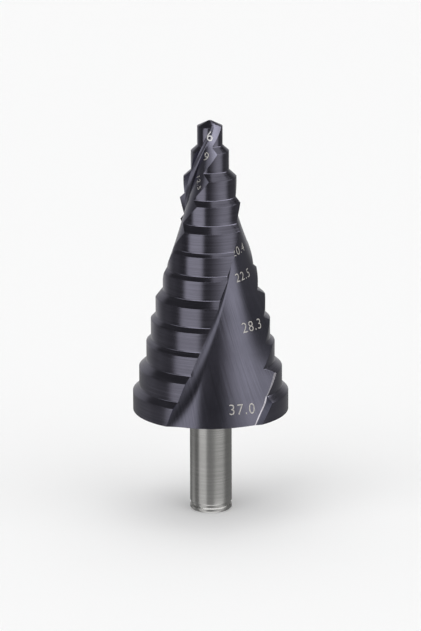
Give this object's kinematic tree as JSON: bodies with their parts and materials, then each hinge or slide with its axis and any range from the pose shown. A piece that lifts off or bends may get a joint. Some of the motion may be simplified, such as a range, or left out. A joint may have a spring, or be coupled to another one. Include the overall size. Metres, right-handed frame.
{
  "type": "step drill",
  "caption": "Stepped conical drill with two right-hand spiral flutes and a plain round shank.",
  "frame": {"origin": "centre of the shank's end face", "axes": "+Z along the drill's axis, from the shank to the point; the first cutting edge leaves the base 124.5 degrees before +X"},
  "size_m": [0.037, 0.0346, 0.0955],
  "materials": {
    "coated_steel": "dark violet-grey nitride coating over finely ground steel"
  },
  "bodies": {
    "root": {"step_drill": "coated_steel"}
  },
  "joints": []
}
